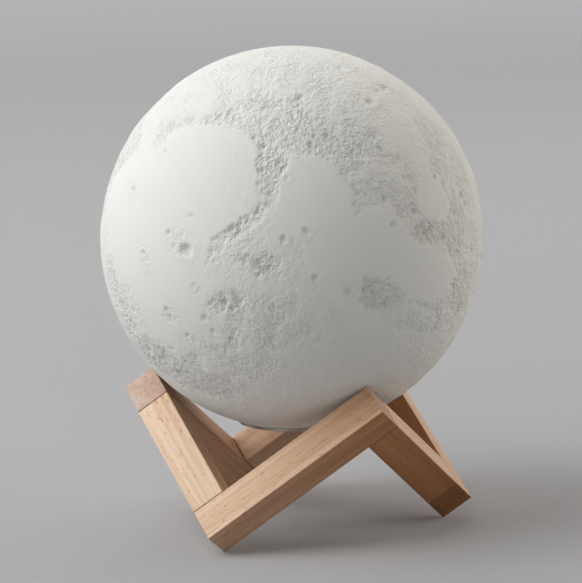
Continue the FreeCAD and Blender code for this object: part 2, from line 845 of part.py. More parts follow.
def lead(name, route):
    """An insulated lead along straight runs joined by arcs."""
    route = [Vector(*(Size.of(part).number for part in point)) for point in route]
    bend = S.lead_bend.number
    edges = []
    start = route[0]
    for before, corner, after in zip(route, route[1:], route[2:]):
        way_in = (corner - before).normalize()
        way_out = (after - corner).normalize()
        cut_back = bend * math.tan(way_in.getAngle(way_out) / 2)
        arc_start = corner - way_in * cut_back
        arc_stop = corner + way_out * cut_back
        inward = (way_out - way_in).normalize()
        middle = corner + inward * (math.hypot(bend, cut_back) - bend)
        edges.append(Part.LineSegment(start, arc_start).toShape())
        edges.append(Part.Arc(arc_start, middle, arc_stop).toShape())
        start = arc_stop
    edges.append(Part.LineSegment(start, route[-1]).toShape())
    first_way = (route[1] - route[0]).normalize()
    radius = S.lead_width.number / 2
    facing = Placement(route[0], Rotation(Vector(0, 0, 1), first_way))
    corners = [polar(S.lead_width, place * 360.0 / LEAD_SIDES) for place in range(LEAD_SIDES)]
    corners.append(corners[0])
    flat_corners = [Vector(across.number, deep.number, 0) for across, deep in corners]
    ring = Part.makePolygon([facing.multVec(corner) for corner in flat_corners])
    path = Part.Wire(edges)
    tube = path.makePipeShell([ring], True, True)
    section = LEAD_SIDES / 2 * radius ** 2 * math.sin(2 * math.pi / LEAD_SIDES)
    expected = path.Length * section
    if abs(tube.Volume - expected) > 0.01 * expected:
        raise ValueError(f"{name}: the tube's volume is not its section times its length")
    item = doc.addObject("Part::Feature", name)
    item.Shape = tube
    item.Placement = Placement(Vector(0, 0, moon_bottom.number), Rotation())
    return settle(name, item)


def lamp_lead(name, side):
    """A lead from the main board, up past the battery and through the roof to the lamps."""
    across = side * S.lead_spacing / 2
    level = light_board_top + S.lead_width / 2 + S.lead_seat_gap
    inner_end = S.lead_offset - S.lamp_lead_reach
    return lead(name, [
        (across, -S.lead_offset, board_top),
        (across, -S.lead_offset, level),
        (across, -inner_end, level),
    ])


def battery_lead(name, side):
    """A short lead from the cell's edge down into the plug block on the main board."""
    across = side * S.battery_lead_spacing / 2
    level = battery_top - battery_thick / 2
    return lead(name, [
        (across, S.battery_width / 2, level),
        (across, plug_block_middle, level),
        (across, plug_block_middle, board_top + S.plug_block_height),
    ])


# ---------------------------------------------------------------- assembly

long_bar("front_bar", 0)
long_bar("right_bar", 1)
long_bar("left_bar", 2)
short_bar("left_strut", 0)
short_bar("right_strut", 1)
short_bar("back_strut", 2)
stand_dowels()

moon_shell()
touch_ring()
base_cover()
base_housing()
cover_screw_level = S.ring_plate + S.counterbore_depth
screws(
    "cover_screws", S.cover_screw_length,
    [polar(S.screw_circle_width, BOSS_ANGLE + third * THIRD_TURN) for third in THIRDS],
    cover_screw_level, head_down=True,
)

light_board()
for place, tone in enumerate(("warm", "white", "warm", "white", "warm", "white")):
    lamp(f"{tone}_lamp_{place // 2 + 1}", place)
light_cap()
both_sides = [(-S.light_screw_spread, ZERO), (S.light_screw_spread, ZERO)]
screws("light_board_screws", S.light_screw_length, both_sides, light_board_top)

plug_block_middle = (S.battery_width + S.plug_block_width) / 2 - S.plug_block_tuck
main_board()
charge_socket()
socket_pin()
control_chip()
block("charge_chip", (S.charger_size, S.charger_size, S.charger_height),
      (S.charger_across, S.charger_deep), board_top)
block("boost_coil", (S.coil_size, S.coil_size, S.coil_height),
      (S.coil_across, -S.coil_deep), board_top, S.coil_corner)
capacitor()
block("signal_lamp", (S.signal_lamp_length, S.signal_lamp_width, S.signal_lamp_height),
      (ZERO, -S.light_hole_offset), board_under - S.signal_lamp_height)
light_pipe()
touch_contact()
block("battery_plug", (S.plug_block_length, S.plug_block_width, S.plug_block_height),
      (ZERO, plug_block_middle), board_top)
both_sides = [(-S.standoff_spread, ZERO), (S.standoff_spread, ZERO)]
screws("main_board_screws", S.board_screw_length, both_sides, board_top)

battery()
block("battery_pad", (S.pad_size, S.pad_size, S.pad_thick), (ZERO, ZERO), battery_top)
lamp_lead("lamp_lead_red", -1)
lamp_lead("lamp_lead_black", 1)
battery_lead("battery_lead_red", -1)
battery_lead("battery_lead_black", 1)

doc.recompute()
for item in doc.Objects:
    if "Invalid" in item.State or "Error" in item.State:
        raise ValueError(f"{item.Label} did not build: {item.State}")
for name, item in nodes.items():
    if item.Shape.isNull() or not item.Shape.isValid() or not item.Shape.Solids:
        raise ValueError(f"{name} has no sound solid")

os.makedirs("parts", exist_ok=True)
for name, item in nodes.items():
    item.Shape.exportStep(f"parts/{name}.step")
print(f"{len(nodes)} nodes, moon's middle at {(moon_bottom + moon_middle).number:.3f} mm")
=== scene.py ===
"""A moon lamp at rest in its ring of beech bars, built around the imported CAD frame.

The frame gives every place and size: the bars are read from their CAD solids along the
edges of a cube that stands on one corner, and the moon, ring and base are measured from
the boxes of their nodes. Lengths are metres, +Z is up and -Y faces the viewer.
"""

from __future__ import annotations

import itertools
import json
import logging
import math
from dataclasses import dataclass, field
from enum import Enum

import bmesh
import bpy
import numpy as np
from bpy.types import Material, NodeSocket, Object
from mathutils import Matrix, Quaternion, Vector

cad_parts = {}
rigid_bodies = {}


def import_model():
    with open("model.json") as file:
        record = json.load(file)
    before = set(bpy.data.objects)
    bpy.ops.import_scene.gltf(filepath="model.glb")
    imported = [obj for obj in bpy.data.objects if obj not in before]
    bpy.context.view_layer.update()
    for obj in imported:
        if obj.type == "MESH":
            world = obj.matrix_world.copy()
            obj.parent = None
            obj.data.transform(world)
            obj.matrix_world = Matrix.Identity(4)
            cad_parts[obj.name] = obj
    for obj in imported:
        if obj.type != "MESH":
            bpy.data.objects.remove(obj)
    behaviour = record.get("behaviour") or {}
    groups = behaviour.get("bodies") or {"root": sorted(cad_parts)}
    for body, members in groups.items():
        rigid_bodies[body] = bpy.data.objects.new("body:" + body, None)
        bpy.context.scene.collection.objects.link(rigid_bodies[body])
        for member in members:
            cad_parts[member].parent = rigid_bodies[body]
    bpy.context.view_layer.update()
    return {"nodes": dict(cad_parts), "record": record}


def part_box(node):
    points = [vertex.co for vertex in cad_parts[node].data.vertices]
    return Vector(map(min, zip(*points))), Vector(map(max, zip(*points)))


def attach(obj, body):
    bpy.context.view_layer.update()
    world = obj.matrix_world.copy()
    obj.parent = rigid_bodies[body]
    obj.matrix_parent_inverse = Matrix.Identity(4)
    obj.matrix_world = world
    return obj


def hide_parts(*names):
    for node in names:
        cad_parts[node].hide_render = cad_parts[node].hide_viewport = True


log = logging.getLogger("moon_lamp")

Array = np.ndarray
Pair = tuple[float, float]
Triple = tuple[float, float, float]

MM = 0.001
WELD_REACH = 0.02 * MM


# ---- small numeric helpers


def smooth_step(low: float, high: float, values: Array) -> Array:
    """Eases values from 0 at low to 1 at high; a high below low turns the ramp round."""
    share = np.clip((values - low) / (high - low), 0.0, 1.0)
    return share * share * (3.0 - 2.0 * share)


def unit(vectors: Array) -> Array:
    """The same vectors, one unit long."""
    return vectors / np.linalg.norm(vectors, axis=-1, keepdims=True)


def direction(azimuth: float, elevation: float) -> Array:
    """A unit vector from degrees about +Z, 0 towards -Y and 90 towards +X, and above level."""
    turn, rise = math.radians(azimuth), math.radians(elevation)
    return np.array([math.sin(turn) * math.cos(rise), -math.cos(turn) * math.cos(rise), math.sin(rise)])


@dataclass
class GradientNoise:
    """Smooth three-dimensional noise on a lattice of random slopes, drawn from a seed."""

    seed: int
    side: int = 64
    octave_shift: float = 7.3

    def __post_init__(self) -> None:
        """Draws the lattice."""
        cells = (self.side, self.side, self.side)
        self.slopes = unit(np.random.default_rng(self.seed).normal(size=(*cells, 3)))

    def at(self, points: Array) -> Array:
        """The noise at some points.

        Args:
            points: an (n, 3) array in lattice units.

        Returns:
            n values, mostly between -0.7 and 0.7.
        """
        cell = np.floor(points).astype(int)
        part = points - cell
        ease = part * part * part * (part * (part * 6.0 - 15.0) + 10.0)
        total = np.zeros(len(points))
        for corner in np.ndindex(2, 2, 2):
            slope = self.slopes[tuple(((cell + corner) % self.side).T)]
            reach = np.einsum("ij,ij->i", slope, part - corner)
            total += np.prod(np.where(corner, ease, 1.0 - ease), axis=1) * reach
        return total

    def layered(self, points: Array, scale: float, layers: int) -> Array:
        """Octaves added up, each twice as fine and half as high; scale is cells per unit in the first."""
        octaves = [(2.0**layer, self.octave_shift * layer) for layer in range(layers)]
        return sum(self.at(points * scale * fine + shift) / fine for fine, shift in octaves)


# ---- finishes


def linear(code: str) -> tuple[float, ...]:
    """Turns a colour as seen on screen, such as "E0C4A4", into linear values and an alpha of 1."""
    parts = [int(code[start : start + 2], 16) / 255.0 for start in (0, 2, 4)]
    return (*[part / 12.92 if part <= 0.04045 else ((part + 0.055) / 1.055) ** 2.4 for part in parts], 1.0)


# A Mix node that mixes colours, with the places of its sockets: their names are shared
# with its number and vector sockets.
MIX = {"data_type": "RGBA", "output": 2}
SHARE, FIRST, SECOND = 0, 6, 7
SMOOTH = {"interpolation_type": "SMOOTHSTEP"}
TIMES = {"operation": "MULTIPLY"}


@dataclass
class Graph:
    """A node tree of a material or a world, with one way to add a node."""

    name: str
    world: bool = False

    def __post_init__(self) -> None:
        """Starts an empty tree."""
        self.owner = (bpy.data.worlds if self.world else bpy.data.materials).new(self.name)
        self.owner.use_nodes = True
        self.tree = self.owner.node_tree
        self.tree.nodes.clear()

    def add(
        self, kind: str, inputs: dict | tuple = (), output: str | int = 0, **settings: object
    ) -> NodeSocket | None:
        """Adds a node with its settings and links.

        Args:
            kind: the node's type, without the "ShaderNode" that starts them all.
            inputs: numbers, colour codes or output sockets, in order or by the input's name or place.
            output: the name or place of the output to hand back.
            settings: properties of the node itself.

        Returns:
            The output socket, or None for a node that has none.
        """
        node = self.tree.nodes.new(f"ShaderNode{kind}")
        for name, value in settings.items():
            setattr(node, name, value)
        for place, value in inputs.items() if isinstance(inputs, dict) else enumerate(inputs):
            if isinstance(value, NodeSocket):
                self.tree.links.new(value, node.inputs[place])
            else:
                node.inputs[place].default_value = linear(value) if isinstance(value, str) else value
        return node.outputs[output] if node.outputs else None

    def finish(self, inputs: dict) -> Material:
        """Ends the tree with a principled surface that has these inputs, and hands back the material."""
        self.add("OutputMaterial", {"Surface": self.add("BsdfPrincipled", inputs)})
        return self.owner

    def seen(self) -> NodeSocket:
        """Whether a ray looks at the setting, from the camera or by way of metal or glass.

        Returns:
            A socket that is 1 for such a ray and 0 for one that carries light.
        """
        total = 0.0
        for kind in ("Camera", "Glossy", "Transmission"):
            ray = self.add("LightPath", output=f"Is {kind} Ray")
            total = self.add("Math", (ray, total), operation="MAXIMUM")
        return total


@dataclass(frozen=True)
class Plain:
    """A finish of one colour, darker in fine specks."""

    name: str
    colour: str
    rough: float
    metal: float = 0.0
    grain: float = 900.0
    relief: float = 0.01 * MM
    clear: float = 0.0
    speck_shade: float = 0.93

    def make(self) -> Material:
        """Builds the material.

        Returns:
            The material.
        """
        graph = Graph(self.name)
        where = graph.add("TexCoord", output="Object")
        speck = graph.add(
            "TexNoise", {"Vector": where, "Scale": self.grain, "Detail": 3.0, "Roughness": 0.6}
        )
        share = graph.add("MapRange", (speck, 0.3, 0.7), **SMOOTH)
        full = linear(self.colour)
        dim = (*[part * self.speck_shade for part in full[:3]], 1.0)
        colour = graph.add("Mix", {SHARE: share, FIRST: dim, SECOND: full}, **MIX)
        bump = graph.add("Bump", {"Height": speck, "Distance": self.relief})
        return graph.finish({
            "Base Color": colour, "Roughness": self.rough, "Metallic": self.metal, "Normal": bump,
            "Transmission Weight": self.clear,
        })


PLAIN_FINISHES = (
    # Beech dowel: paler and duller than the planed bars.
    Plain("dowel_beech", "E2CBA6", 0.75),
    # Injection-moulded ABS: white with a soft sheen.
    Plain("base_white", "E9E9E6", 0.42, grain=2500.0),
    # Zinc-plated steel: grey and bright.
    Plain("screw_steel", "A9ABAE", 0.32, 1.0),
    # White solder mask on glass fibre: pale with a plastic sheen.
    Plain("board", "E2E6E2", 0.45),
    # Green solder mask on glass fibre.
    Plain("board_green", "1E5A38", 0.38),
    # Phosphor resin in a lamp's well: deep yellow for warm light, pale for white.
    Plain("lamp_warm", "F2BE55", 0.35),
    Plain("lamp_white", "F4E48C", 0.35),
    # Filled epoxy of chips, coils and sockets: near black, half matt.
    Plain("black_part", "1D1D1F", 0.45),
    # Spring brass: yellow metal, bright where it was rolled.
    Plain("contact_brass", "D2A95C", 0.28, 1.0),
    # Drawn aluminium can.
    Plain("can_metal", "B9BBBF", 0.30, 1.0),
    # Aluminium laminate around the cell.
    Plain("foil_cell", "BFC3C8", 0.33, 1.0),
    # Polyethylene foam: black, matt and open-pored.
    Plain("foam_pad", "2A2A2C", 0.95, grain=4000.0, relief=0.0001),
    # PVC insulation.
    Plain("lead_red", "A51C16", 0.40),
    Plain("lead_black", "161617", 0.40),
    # Natural nylon plug.
    Plain("plug_cream", "E4DCC4", 0.50),
    # Acrylic rod: clear and polished.
    Plain("clear_rod", "F2F6F7", 0.08, clear=0.9),
    # Frosted polycarbonate: white, matt, lets light through.
    Plain("cap_frosted", "F3F3EF", 0.70, grain=3000.0, relief=0.00003, clear=0.35),
)


@dataclass(frozen=True)
class MoonPrint:
    """Matt white PLA as a printer lays it: smooth on the plains, pitted on the highlands.

    The plastic is dull and nearly white. Round pits about a millimetre wide crowd where
    the mesh's "rough" attribute is high. The deeper hollows and the pits are greyed a little as painted
    shade.
    """

    name: str = "moon_print"
    colour: str = "EAEAE6"
    # Painted shade: the grey of the deeper hollows, the grey of the pits, and how far the pits take it on.
    hollow_shade_colour: str = "D8D8D2"
    pit_shade_colour: str = "B4B4AC"
    pit_shade: float = 0.15
    cells: float = 520.0
    pit_slope: Pair = (0.10, 0.42)
    pit_depth: float = 0.42
    grain: float = 0.07
    rough_grain: float = 1.1
    relief: float = 1.1 * MM

    def make(self) -> Material:
        """Builds the material.

        Returns:
            The material. It reads the mesh's "rough" and "hollow" attributes.
        """
        graph = Graph(self.name)
        where = graph.add("TexCoord", output="Object")
        rough = graph.add("Attribute", output="Fac", attribute_name="rough")
        hollow = graph.add("Attribute", output="Fac", attribute_name="hollow")
        # Pits: round, flat-bottomed, with level ground between them.
        spacing = {"Vector": where, "Scale": self.cells, "Detail": 1.0, "Roughness": 0.8}
        cells = graph.add("TexVoronoi", spacing, normalize=True)
        level = graph.add("MapRange", (cells, *self.pit_slope), **SMOOTH)
        sunk = graph.add("Math", (1.0, level), operation="SUBTRACT")
        pitted = graph.add("Math", (sunk, rough), **TIMES)
        # Grain: what the nozzle leaves everywhere, stronger on rough ground.
        lumps = graph.add(
            "TexNoise", {"Vector": where, "Scale": self.cells, "Detail": 3.0, "Roughness": 0.62}
        )
        about_zero = graph.add("Math", (lumps, 0.5), operation="SUBTRACT")
        share = graph.add("Math", (rough, self.rough_grain, self.grain), operation="MULTIPLY_ADD")
        grain = graph.add("Math", (about_zero, share), **TIMES)
        height = graph.add("Math", (pitted, -self.pit_depth, grain), operation="MULTIPLY_ADD")
        bump = graph.add("Bump", {"Height": height, "Distance": self.relief})
        # Painted shade: the deeper hollows, then the pits, are mixed towards greyer colours.
        base = graph.add("Mix", {SHARE: hollow, FIRST: self.colour, SECOND: self.hollow_shade_colour}, **MIX)
        deep = graph.add("Math", (pitted, self.pit_shade), **TIMES)
        colour = graph.add("Mix", {SHARE: deep, FIRST: base, SECOND: self.pit_shade_colour}, **MIX)
        return graph.finish({
            "Base Color": colour, "Roughness": 0.85, "Specular IOR Level": 0.25, "Normal": bump,
        })


@dataclass(frozen=True)
class Beech:
    """Oiled beech, by how it is stretched along the bar and its pale and dark colours.

    Beech is pinkish tan with faint streaks, and short dark flecks where its rays are cut.
    Bars differ, so "tone" moves each from pale to red. It also carries painted light and shade: redder and
    darker on faces in shade, paler on lit faces.
    """

    name: str
    streak_scale: Triple
    fibre_scale: Triple
    fleck_scale: Triple
    pale: tuple[str, str]
    red: tuple[str, str]
    fibre_shade: tuple[float, ...] = (0.88, 0.83, 0.78, 1.0)
    fleck_colour: str = "84583C"
    fleck_share: float = 0.55
    relief: float = 0.05 * MM

    def make(self) -> Material:
        """Builds the material.

        Returns:
            The material. It reads the mesh's "grain" attribute, along, across and through
            the bar in metres, and "tone", 0 for a pale bar and 1 for a red one, which is also set side by
            side as painted light and shade.
        """
        graph = Graph(self.name)
        grain = graph.add("Attribute", output="Vector", attribute_name="grain")
        tone = graph.add("Attribute", output="Fac", attribute_name="tone")
        values = []
        for scale, detail, *limits in (
            (self.streak_scale, 3.0, 0.26, 0.72),
            (self.fibre_scale, 3.0, 0.32, 0.62),
            (self.fleck_scale, 1.0, 0.61, 0.76),
        ):
            stretched = graph.add("Mapping", {"Vector": grain, "Scale": scale})
            value = graph.add(
                "TexNoise", {"Vector": stretched, "Scale": 1.0, "Detail": detail, "Roughness": 0.65}
            )
            values.append(graph.add("MapRange", (value, *limits), **SMOOTH))
        streak, fibre, fleck = values
        sides = [
            graph.add("Mix", {SHARE: streak, FIRST: dark, SECOND: light}, **MIX)
            for light, dark in (self.pale, self.red)
        ]
        wood = graph.add("Mix", {SHARE: tone, FIRST: sides[0], SECOND: sides[1]}, **MIX)
        shade = graph.add("Mix", {SHARE: fibre, FIRST: self.fibre_shade, SECOND: "FFFFFF"}, **MIX)
        wood = graph.add("Mix", {SHARE: 1.0, FIRST: wood, SECOND: shade}, **MIX, blend_type="MULTIPLY")
        share = graph.add("Math", (fleck, self.fleck_share), **TIMES)
        colour = graph.add("Mix", {SHARE: share, FIRST: wood, SECOND: self.fleck_colour}, **MIX)
        height = graph.add("Math", (fleck, -0.5, fibre), operation="MULTIPLY_ADD")
        bump = graph.add("Bump", {"Height": height, "Distance": self.relief})
        return graph.finish({
            "Base Color": colour, "Roughness": 0.62, "Specular IOR Level": 0.35, "Normal": bump,
        })


BEECH_SIDE = Beech(
    "beech", (4.0, 200.0, 200.0), (17.0, 780.0, 780.0), (260.0, 1800.0, 1800.0),
    ("EDD4BB", "DDBA9A"), ("C28A60", "AA744C"),
)
# End grain: darker than the sides, as beech is. Its red pair is darker still as painted shade, for the
# right bar's foot end that lies in shade.
BEECH_END = Beech(
    "beech_end", (60.0, 60.0, 60.0), (900.0, 700.0, 700.0), (1500.0, 1500.0, 1500.0),
    ("D6C1B2", "C5A692"), ("A27443", "8D6034"),
)


@dataclass(frozen=True)
class BrushedNickel:
    """Nickel plate, bright, with fine brushed lines that run round the ring."""

    name: str = "ring_metal"
    lines: Triple = (3.0, 5200.0, 5200.0)
    dark: str = "A6A4A3"
    bright: str = "CECBC7"
    rough: float = 0.30
    relief: float = 0.012 * MM

    def make(self) -> Material:
        """Builds the material.

        Returns:
            The material. It reads the mesh's "turn" attribute: angle, radius and height.
        """
        graph = Graph(self.name)
        turn = graph.add("Attribute", output="Vector", attribute_name="turn")
        lines = graph.add("Mapping", {"Vector": turn, "Scale": self.lines})
        brushed = graph.add("TexNoise", {"Vector": lines, "Scale": 1.0, "Detail": 2.0, "Roughness": 0.6})
        share = graph.add("MapRange", (brushed, 0.3, 0.7), **SMOOTH)
        colour = graph.add("Mix", {SHARE: share, FIRST: self.dark, SECOND: self.bright}, **MIX)
        bump = graph.add("Bump", {"Height": brushed, "Distance": self.relief})
        return graph.finish({
            "Base Color": colour, "Roughness": self.rough, "Metallic": 1.0, "Normal": bump,
        })


class Body(Enum):
    """The lamp's two rigid bodies."""

    STAND = "stand"
    MOON = "moon"


@dataclass
class Looks:
    """Every finish by its slot name in the record, and the record's slot for every node."""

    slots: dict[str, str]

    def __post_init__(self) -> None:
        """Makes the finishes."""
        kinds = (*PLAIN_FINISHES, BEECH_SIDE, MoonPrint(), BrushedNickel())
        self.finishes = {finish.name: finish.make() for finish in kinds}
        self.end_grain = BEECH_END.make()

    def dress(self, item: Object, node: str) -> None:
        """Gives a piece its finish and its record slot.

        Args:
            item: the piece, with no finish yet.
            node: the CAD node it stands for, or is.
        """
        slot = self.slots[node]
        item.data.materials.append(self.finishes[slot])
        log.info("%s: %d points, %s", node, len(item.data.vertices), slot)


# ---- meshes


@dataclass
class Patch:
    """Points and faces collected for one mesh."""

    points: list[Array] = field(default_factory=list)
    faces: list[list[int]] = field(default_factory=list)
    slots: list[int] = field(default_factory=list)

    def add(self, points: Array) -> Array:
        """Adds an array of any shape with coordinates on its last axis; hands back the points' numbers."""
        self.points.append(points.reshape(-1, 3))
        return np.arange(points.size // 3).reshape(points.shape[:-1]) + sum(map(len, self.points[:-1]))

    def grid(self, numbers: Array, closed: bool = False, slot: int = 0) -> None:
        """Joins a grid of point numbers with quads.

        Args:
            numbers: a two-dimensional array of point numbers.
            closed: True where the last column joins the first.
            slot: the faces' material slot.
        """
        if closed:
            numbers = np.hstack([numbers, numbers[:, :1]])
        quads = np.stack([numbers[:-1, :-1], numbers[:-1, 1:], numbers[1:, 1:], numbers[1:, :-1]], axis=-1)
        self.faces += quads.reshape(-1, 4).tolist()
        self.slots += [slot] * (quads.size // 4)

    def all_points(self) -> Array:
        """Every point so far, (n, 3)."""
        return np.vstack(self.points)

    def build(self, name: str, values: dict[str, Array]) -> Object:
        """Makes the object, with points that lie together joined and every face turned outwards.

        Args:
            name: the object's name.
            values: the mesh's attributes by name, with a number or a vector for each point.

        Returns:
            The object, at the origin and shaded smooth.
        """
        mesh = bpy.data.meshes.new(name)
        mesh.from_pydata(self.all_points().tolist(), [], self.faces)
        mesh.polygons.foreach_set("material_index", np.array(self.slots, np.int32))
        mesh.polygons.foreach_set("use_smooth", np.ones(len(mesh.polygons), bool))
        mesh.update()
        for key, numbers in values.items():
            kind, part = ("FLOAT_VECTOR", "vector") if numbers.ndim == 2 else ("FLOAT", "value")
            attribute = mesh.attributes.new(key, kind, "POINT")
            attribute.data.foreach_set(part, numbers.astype(np.float32).ravel())
        work = bmesh.new()
        work.from_mesh(mesh)
        bmesh.ops.remove_doubles(work, verts=work.verts, dist=WELD_REACH)
        bmesh.ops.recalc_face_normals(work, faces=work.faces)
        work.to_mesh(mesh)
        work.free()
        item = bpy.data.objects.new(name, mesh)
        bpy.context.scene.collection.objects.link(item)
        return item


def sharpen(item: Object, degrees: float) -> None:
    """Shades a mesh smooth but for its sharper edges.

    Args:
        item: the mesh object.
        degrees: edges that turn more than this stay sharp.
    """
    work = bmesh.new()
    work.from_mesh(item.data)
    limit = math.radians(degrees)
    for edge in work.edges:
        edge.smooth = len(edge.link_faces) == 2 and edge.calc_face_angle(0.0) < limit
    work.to_mesh(item.data)
    work.free()


def points_of(item: Object) -> Array:
    """The points of a mesh object at the origin, (n, 3)."""
    return np.array([point.co for point in item.data.vertices])


# ---- the moon's relief


# A distance on the unit sphere that is further than any, and how squarely a direction
# has to face a shore's middle to lie on its plane.
FAR = 9.0
LEAST_FACING = 0.1

RIM_HEIGHT, RIM_REACH, RIM_WIDTH = 0.22, 1.12, 0.30
PIT_WALL = (1.0, 0.25)


def plane_axes(middle: Array) -> tuple[Array, Array]:
    """The level and the rising axis of the plane that touches the unit sphere at its middle."""
    aside = unit(np.cross(np.array([0.0, 0.0, 1.0]), middle))
    return aside, np.cross(middle, aside)


@dataclass(frozen=True)
class Oval:
    """A stretch of the moon, by its middle, half widths and tilt in degrees."""

    azimuth: float
    elevation: float
    half_width: float
    half_height: float
    tilt: float = 0.0
    strength: float = 1.0

    def reach(self, where: Array) -> Array:
        """How far directions lie from the oval's middle, 1 on its edge.

        Args:
            where: unit vectors, (n, 3).

        Returns:
            n distances, large on the far side of the moon.
        """
        middle = direction(self.azimuth, self.elevation)
        aside, above = plane_axes(middle)
        turned = (where @ aside + 1j * (where @ above)) * np.exp(-1j * math.radians(self.tilt))
        reach = np.degrees(np.hypot(turned.real / self.half_width, turned.imag / self.half_height))
        return np.where(where @ middle > 0.0, reach, FAR)


@dataclass(frozen=True)
class Shore:
    """A smooth plain by how soft its edge is, as a share of the moon's radius, and its
    outline, as azimuths and elevations in degrees."""

    softness: float
    outline: tuple[Pair, ...]

    def depth(self, where: Array) -> Array:
        """How far inside the outline directions lie.

        Args:
            where: unit vectors, (n, 3).

        Returns:
            n distances as shares of the moon's radius, below zero outside.
        """
        bends = np.array([direction(*pair) for pair in self.outline])
        middle = unit(bends.mean(axis=0))
        aside, above = plane_axes(middle)
        facing = where @ middle
        flat = np.stack([where @ aside, where @ above], axis=1) / np.maximum(facing, LEAST_FACING)[:, None]
        ring = np.stack([bends @ aside, bends @ above], axis=1) / (bends @ middle)[:, None]
        nearest = np.full(len(where), FAR)
        within = np.zeros(len(where), bool)
        for start, stop in zip(ring, np.roll(ring, -1, axis=0)):
            edge, gap = stop - start, flat - start
            share = np.clip(gap @ edge / (edge @ edge), 0.0, 1.0)
            nearest = np.minimum(nearest, np.linalg.norm(gap - share[:, None] * edge, axis=1))
            spans = (start[1] > flat[:, 1]) != (stop[1] > flat[:, 1])
            cut = start[0] + np.divide(gap[:, 1], edge[1], out=np.zeros(len(where)), where=spans) * edge[0]
            within ^= spans & (flat[:, 0] < cut)
        return np.where(facing > LEAST_FACING, np.where(within, nearest, -nearest), -FAR)


@dataclass(frozen=True)
class Crater:
    """A round pit with a raised rim, by its middle and radius in degrees and its depth."""

    azimuth: float
    elevation: float
    radius: float
    depth_mm: float = 0.62


SHORES = (
    Shore(0.034, (
        (-75.6, 10.8), (-78.0, 21.2), (-67.1, 29.0), (-52.1, 33.8), (-51.1, 37.9), (-45.9, 41.8),
        (-33.7, 43.3), (-21.3, 43.0), (-14.6, 41.4), (-10.8, 37.4), (-9.4, 31.1), (-9.6, 25.0),
        (-8.2, 20.3), (-10.8, 17.2), (-15.3, 13.4), (-19.8, 10.7), (-24.1, 7.4), (-25.4, 2.5),
        (-24.2, -5.6), (-26.8, -13.4), (-33.9, -23.9), (-43.8, -26.7), (-50.2, -20.6), (-55.6, -8.7),
        (-65.6, 1.9),
    )),
    Shore(0.008, (
        (2.7, 33.0), (10.2, 33.1), (16.7, 30.5), (18.8, 25.8), (20.7, 21.5), (20.8, 13.4), (24.9, 17.3),
        (32.5, 14.6), (33.7, 11.3), (37.3, 7.1), (43.4, 3.4), (50.0, 0.1), (56.5, -4.1), (58.0, -7.3),
        (51.1, -12.0), (46.7, -14.7), (36.0, -10.1), (29.9, -5.4), (22.8, -2.9), (21.6, -7.2),
        (23.2, -13.5), (28.0, -15.9), (31.8, -21.9), (25.6, -22.9), (18.5, -18.8), (12.0, -8.9),
        (8.0, -3.9), (4.7, 2.1), (5.6, 8.9), (1.0, 9.6), (-2.8, 9.7), (-4.8, 14.3), (-3.6, 19.1),
        (-1.7, 24.9),
    )),
    Shore(0.010, (
        (44.5, 20.0), (48.5, 21.9), (52.5, 22.0), (55.5, 19.7), (56.4, 16.3), (56.4, 12.4), (53.7, 9.2),
        (49.8, 8.6), (45.7, 10.4), (43.2, 13.6), (42.2, 17.3),
    )),
)

# Plains on the side that the viewer doesn't see.
PLAINS = tuple(Oval(*row) for row in (
    (150.0, 20.0, 24.0, 17.0, 15.0), (-120.0, -12.0, 18.0, 14.0, -25.0), (108.0, 38.0, 12.0, 9.0),
    (-165.0, 46.0, 14.0, 9.0, 10.0),
))

BELTS = tuple(Oval(*row) for row in (
    (0.0, 64.0, 55.0, 22.0, 0.0, 0.42), (2.0, 43.0, 25.0, 8.0, -20.0, 0.9),
    (24.0, 35.0, 16.0, 9.0, -20.0, 0.8), (-40.0, 43.0, 15.0, 4.0, 22.0, 0.8),
    (-18.0, 46.0, 14.0, 3.5, 5.0, 0.9), (-5.0, 29.0, 6.0, 12.0, 5.0), (-11.5, 15.0, 9.5, 2.8, 38.0),
    (37.0, 24.0, 14.0, 10.0, -30.0, 0.7), (26.0, 20.0, 6.0, 6.0, 0.0, 0.8),
    (44.0, 12.0, 12.0, 7.0, -40.0, 0.9), (29.0, -8.0, 8.0, 6.5, 25.0, 0.9),
    (42.0, -18.0, 12.0, 6.0, -25.0, 0.6), (-8.0, 1.0, 5.5, 3.5, 0.0, 0.8),
    (-17.0, -10.0, 5.5, 3.5, 20.0, 0.8), (-6.0, -17.0, 14.0, 9.0, 15.0, 0.5),
    (-22.0, -32.0, 18.0, 9.0, 12.0, 0.5), (64.0, 10.0, 13.0, 36.0, 0.0, 0.7),
    (-50.0, -36.0, 24.0, 8.0, -25.0, 0.9), (-66.0, -18.0, 5.0, 16.0, 15.0, 0.8),
    (40.0, 52.0, 26.0, 13.0, -15.0, 0.45), (100.0, -8.0, 22.0, 30.0, 0.0, 0.9),
    (170.0, -22.0, 40.0, 22.0, 15.0, 0.9), (-100.0, 26.0, 28.0, 24.0, 0.0, 0.8),
    (-150.0, 10.0, 24.0, 20.0, -20.0, 0.8), (140.0, 58.0, 34.0, 16.0, 0.0, 0.7),
))

# Lightly broken ground inside the plains.
SCARS = tuple(Oval(*row) for row in (
    (-33.5, 7.5, 8.0, 5.5, -20.0, 0.30), (-57.0, 20.0, 3.5, 3.5, 0.0, 0.40),
    (-47.0, 1.0, 2.5, 6.0, 10.0, 0.30), (-39.0, -15.0, 4.0, 4.0, 0.0, 0.35),
    (-25.0, -16.0, 4.5, 3.5, 0.0, 0.35), (-33.0, -21.5, 3.5, 3.0, 0.0, 0.40),
    (-28.0, -4.5, 3.0, 2.5, 0.0, 0.35), (-15.0, 27.0, 5.0, 12.0, 0.0, 0.16),
    (18.0, -6.0, 4.0, 3.0, 0.0, 0.25), (10.0, 9.0, 8.0, 3.0, 10.0, 0.20),
))

